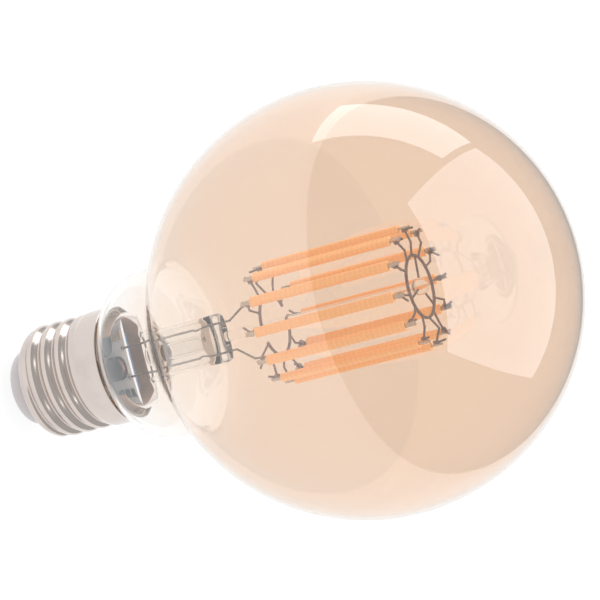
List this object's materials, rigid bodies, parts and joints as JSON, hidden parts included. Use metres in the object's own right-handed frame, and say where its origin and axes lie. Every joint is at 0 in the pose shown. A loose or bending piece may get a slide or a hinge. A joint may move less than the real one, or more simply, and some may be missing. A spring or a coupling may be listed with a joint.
{
  "type": "smart light bulb",
  "caption": "Globe-shaped smart light bulb with amber-tinted glass, a cage of filaments on a glass stem and a plated screw cap.",
  "frame": {"origin": "centre of the flat centre contact face at the cap end, on the bulb axis", "axes": "+Z along the bulb axis from the cap towards the crown of the globe; -Y is the side the window in the driver sleeve faces"},
  "size_m": [0.095, 0.095, 0.135],
  "materials": {
    "tinted_glass": "clear, thin amber tint",
    "clear_glass": "clear",
    "frame_wire": "dull nickel wire",
    "lead_metal": "dull nickel wire",
    "plated_shell": "bright nickel plating",
    "white_insulator": "smooth",
    "contact_metal": "tinned",
    "cement": "baked, rough",
    "strip_metal": "stamped",
    "phosphor_silicone": "matte",
    "red_insulation": "smooth",
    "black_insulation": "smooth",
    "white_board": "satin",
    "blue_board": "satin",
    "solder": "bright",
    "brown_film": "glossy film",
    "black_plastic": "matte",
    "ferrite": "matte",
    "copper": "bare copper",
    "resistor_body": "lacquered",
    "shield_metal": "tinned",
    "tan_ceramic": "matte"
  },
  "bodies": {
    "root": {"board_solder": "solder", "bridge_rectifier": "black_plastic", "cap_cement": "cement", "cap_insulator": "white_insulator", "centre_contact": "contact_metal", "centre_rod": "clear_glass", "driver_board": "white_board", "driver_chip": "black_plastic", "driver_sleeve": "brown_film", "exhaust_tube": "clear_glass", "filament_coat_01": "phosphor_silicone", "filament_coat_02": "phosphor_silicone", "filament_coat_03": "phosphor_silicone", "filament_coat_04": "phosphor_silicone", "filament_coat_05": "phosphor_silicone", "filament_coat_06": "phosphor_silicone", "filament_coat_07": "phosphor_silicone", "filament_coat_08": "phosphor_silicone", "filament_coat_09": "phosphor_silicone", "filament_coat_10": "phosphor_silicone", "filament_coat_11": "phosphor_silicone", "filament_coat_12": "phosphor_silicone", "filament_strip_01": "strip_metal", "filament_strip_02": "strip_metal", "filament_strip_03": "strip_metal", "filament_strip_04": "strip_metal", "filament_strip_05": "strip_metal", "filament_strip_06": "strip_metal", "filament_strip_07": "strip_metal", "filament_strip_08": "strip_metal", "filament_strip_09": "strip_metal", "filament_strip_10": "strip_metal", "filament_strip_11": "strip_metal", "filament_strip_12": "strip_metal", "fusible_resistor": "resistor_body", "glass_globe": "tinted_glass", "inductor_core": "ferrite", "inductor_winding": "copper", "lead_wire_live": "lead_metal", "lead_wire_neutral": "lead_metal", "live_wire": "red_insulation", "lower_arms_live": "frame_wire", "lower_arms_neutral": "frame_wire", "lower_ring_live": "frame_wire", "lower_ring_neutral": "frame_wire", "neutral_wire": "black_insulation", "ring_spokes": "frame_wire", "screw_shell": "plated_shell", "shell_solder": "solder", "small_capacitors": "tan_ceramic", "small_resistors": "black_plastic", "smoothing_capacitor": "black_plastic", "stem_glass": "clear_glass", "upper_arms": "frame_wire", "upper_ring": "frame_wire", "wireless_antenna": "copper", "wireless_module": "blue_board", "wireless_shield": "shield_metal"}
  },
  "joints": []
}
